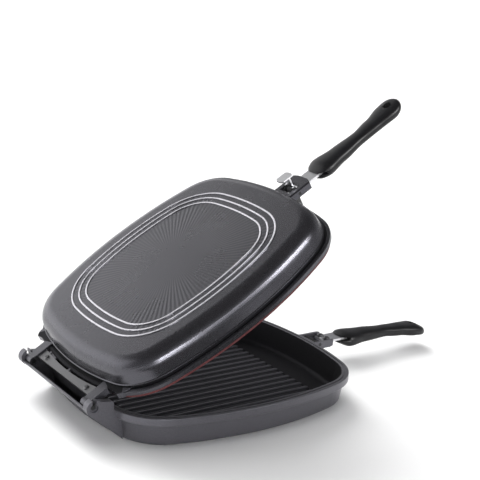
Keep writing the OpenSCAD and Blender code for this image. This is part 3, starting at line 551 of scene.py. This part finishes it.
# Rings: bare, brushed aluminium on the crests, coating down the flanks.
ring_finish = coating("polished_ring_crests", OUTER_GREY, roughness=0.25, speckle=0.60)
tree = ring_finish.node_tree
shader = tree.nodes["Principled BSDF"]
parts = turned_back(tree)
place = tree.nodes.new("ShaderNodeTexCoord")
scuffs = tree.nodes.new("ShaderNodeTexNoise")
scuffs.inputs["Scale"].default_value = 260
tree.links.new(place.outputs["Object"], scuffs.inputs["Vector"])
scuffing = ramp(tree, scuffs.outputs["Fac"], NOISE_LOW, NOISE_HIGH, -BARE_SCUFF, BARE_SCUFF)
worn_height = maths(tree, "ADD", parts.outputs["Z"], scuffing)
bare = ramp(tree, worn_height, BASE_HEIGHT + BARE_FROM, BASE_HEIGHT + BARE_FULL)
blend = tree.nodes.new("ShaderNodeMix")
blend.data_type = "RGBA"
blend.inputs["B"].default_value = BARE_ALUMINIUM
tree.links.new(bare, blend.inputs["Factor"])
tree.links.new(tree.nodes["tones"].outputs["Color"], blend.inputs["A"])
tree.links.new(blend.outputs["Result"], shader.inputs["Base Color"])
tree.links.new(maths(tree, "MULTIPLY", bare, BARE_METALLIC), shader.inputs["Metallic"])

# Sunburst: shallow radial lines that fade towards the middle, their colour painted lighter on the ridges
# and darker in the grooves as painted light and shade.
base_finish = coating("sunburst_coating", OUTER_GREY, roughness=0.27, speckle=0.50)
tree = base_finish.node_tree
shader = tree.nodes["Principled BSDF"]
parts = turned_back(tree)
angle = maths(tree, "ARCTAN2", parts.outputs["Y"], parts.outputs["X"])
waves = maths(tree, "SINE", maths(tree, "MULTIPLY", angle, SUNBURST_LINES))
squares = maths(tree, "ADD", maths(tree, "MULTIPLY", parts.outputs["X"], parts.outputs["X"]),
                maths(tree, "MULTIPLY", parts.outputs["Y"], parts.outputs["Y"]))
fade = ramp(tree, maths(tree, "SQRT", squares), SUNBURST_EMPTY, SUNBURST_FULL)
rays = maths(tree, "MULTIPLY", waves, fade)
ridges = tree.nodes.new("ShaderNodeBump")
ridges.inputs["Strength"].default_value = 0.13
ridges.inputs["Distance"].default_value = 0.0003
tree.links.new(rays, ridges.inputs["Height"])
tree.links.new(tree.nodes["peel"].outputs["Normal"], ridges.inputs["Normal"])
tree.links.new(ridges.outputs["Normal"], shader.inputs["Normal"])
# Painted light and shade: the base colour is lighter on the ridges and darker in the grooves.
shade = tree.nodes.new("ShaderNodeHueSaturation")
tree.links.new(ramp(tree, rays, -1, 1, SUNBURST_PAINTED_SHADE, SUNBURST_PAINTED_LIGHT), shade.inputs["Value"])
tree.links.new(tree.nodes["tones"].outputs["Color"], shade.inputs["Color"])
tree.links.new(shade.outputs["Color"], shader.inputs["Base Color"])

# Recess between flange and wall, and the flange's top at the hinge end: painted shade, a near-black matt
# coating that stands in for the shadow there.
recess_painted_shade = coating("painted_shade_recess", RECESS_PAINTED_SHADE_GREY, roughness=0.62, speckle=0.30, specular=0.2)
upper_pan = dress("upper_pan", outer_coating, inner_coating, ring_finish, base_finish, recess_painted_shade)
to_closed = Matrix.Rotation(OPEN, 3, "Y")
for face in upper_pan.data.polygons:
    centre = closed(face.center)
    normal = to_closed @ face.normal
    inside, inward = depth_inside(centre.x, centre.y)
    on_ring = centre.z > BASE_HEIGHT + RING_ABOVE
    faces_in = normal.dot(inward) > FACING_IN or normal.z < FACING_DOWN
    cavity = inside > WALL and CAVITY_HEIGHT[0] < centre.z < CAVITY_HEIGHT[1] and faces_in
    on_base = abs(centre.z - BASE_HEIGHT) < BASE_WITHIN and normal.z > BASE_UP
    in_rings = on_base and abs(centre.x) < RING_INNER[0] and abs(centre.y) < RING_INNER[1]
    between = (RECESS_INSIDE[0] < inside < RECESS_INSIDE[1] and
               RECESS_HEIGHT[0] < centre.z < RECESS_HEIGHT[1])
    hinge_end = (centre.x < HINGE_END_X and abs(centre.y) < HINGE_END_HALF_WIDTH and
                 FLANGE_EDGE < inside < RECESS_INSIDE[1] and
                 HINGE_END_HEIGHT < centre.z < RECESS_HEIGHT[1])
    # Painted shade: the recess and the hinge end's flange top get the near-black coating.
    in_painted_shade = between or hinge_end
    face.material_index = (RINGS if on_ring else INSIDE if cavity else SUNBURST if in_rings else
                           RECESS if in_painted_shade else OUTSIDE)

# --- Rim seal -------------------------------------------------------------------------------
# A moulded ring of dark red silicone, pressed into the groove of the upper rim. Its surface is
# matt, a little dusty, with the faint waviness of a soft moulding.
SEAL_DARK = (0.060, 0.006, 0.008, 1)
SEAL_LIGHT = (0.105, 0.014, 0.016, 1)
SEAL_GLOSSIEST = 0.50
SEAL_DULLEST = 0.64
silicone = bpy.data.materials.new("red_silicone")
silicone.use_nodes = True
tree = silicone.node_tree
shader = tree.nodes["Principled BSDF"]
place = tree.nodes.new("ShaderNodeTexCoord")
dust = tree.nodes.new("ShaderNodeTexNoise")
dust.inputs["Scale"].default_value = 150
dust.inputs["Detail"].default_value = 4
tones = tree.nodes.new("ShaderNodeValToRGB")
tones.color_ramp.elements[0].color = SEAL_DARK
tones.color_ramp.elements[1].color = SEAL_LIGHT
skin = tree.nodes.new("ShaderNodeBump")
skin.inputs["Strength"].default_value = 0.15
skin.inputs["Distance"].default_value = 0.0004
tree.links.new(place.outputs["Object"], dust.inputs["Vector"])
tree.links.new(dust.outputs["Fac"], tones.inputs["Fac"])
tree.links.new(tones.outputs["Color"], shader.inputs["Base Color"])
dullness = ramp(tree, dust.outputs["Fac"], NOISE_LOW, NOISE_HIGH, SEAL_GLOSSIEST, SEAL_DULLEST)
tree.links.new(dullness, shader.inputs["Roughness"])
tree.links.new(dust.outputs["Fac"], skin.inputs["Height"])
tree.links.new(skin.outputs["Normal"], shader.inputs["Normal"])
dress("rim_seal", silicone)

# --- Hinge pins -----------------------------------------------------------------------------
# Two blackened steel stubs, fixed in the upper pan's arms and turning in the hooks of the
# lower pan's cheeks. Flats on them let the upper pan be lifted out.
dress("near_hinge_pin", blackened_steel)
dress("far_hinge_pin", blackened_steel)

# --- Hinge bar and its screws ---------------------------------------------------------------
# A flat bar, drawn along its length and zinc plated, dull and grey; two small plated screws
# hold it to the casting's lugs.
dress("hinge_bar", steel("dull_bar_steel", grey=0.25, roughness=0.42, along="Y"))
dress("hinge_bar_screws", steel("dull_screw_steel", grey=0.24, roughness=0.36))

# --- Upper tang, its screws and washers -----------------------------------------------------
# The same satin strip as below, with the same plated screws and washers. They hold it from
# underneath, so that the bracket's top stays whole.
dress("upper_tang", tang_steel)
dress("upper_tang_screws", zinc)
dress("upper_tang_washers", zinc)

# --- Upper grip -----------------------------------------------------------------------------
# The same black phenolic moulding as the lower grip, turned over, and pushed over the upper
# tang in the same way.
upper_phenolic_grip = smooth_copy("upper_grip", "upper_phenolic_grip")
upper_phenolic_grip.data.materials.append(black_phenolic)
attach(upper_phenolic_grip, "upper")
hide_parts("upper_grip")

# --- Upper grip screw and washer ------------------------------------------------------------
# As below: a plated steel screw on its washer, sunk in the grip from its flat side and driven
# into the tang.
dress("upper_grip_screw", zinc)
dress("upper_grip_washer", zinc)

# --- Latch pin and spring -------------------------------------------------------------------
# The latch's axle, a steel pin pressed flush into the bracket and blackened, with a torsion spring of
# steel wire wound round it, its grey darkened as painted shade of the bracket's window.
dress("latch_pin", blackened_steel)
# Painted shade: the spring wire's grey is lowered to stand in for the shadow in the bracket.
dress("latch_spring", steel("spring_wire_painted_shade", grey=0.30, roughness=0.32, along="Y"))

# --- Latch lever ----------------------------------------------------------------------------
# Folded sheet steel: a rounded thumb pad, polished bright, on a neck above the bracket. Below it the two
# ears on the pin and the barb are painted dark, as painted shade inside the bracket's window.
EAR_TOP = 0.0505
BRIGHT, PAINTED_SHADE_EARS = 0, 1
bright_steel = steel("bright_latch_steel", grey=0.96, roughness=0.30, along="Y")
# Painted shade: the ears and barb below EAR_TOP get a dark steel.
ear_painted_shade_steel = steel("painted_shade_ear_steel", grey=0.10, roughness=0.40)
latch_lever = dress("latch_lever", bright_steel, ear_painted_shade_steel)
for face in latch_lever.data.polygons:
    face.material_index = PAINTED_SHADE_EARS if closed(face.center).z < EAR_TOP else BRIGHT
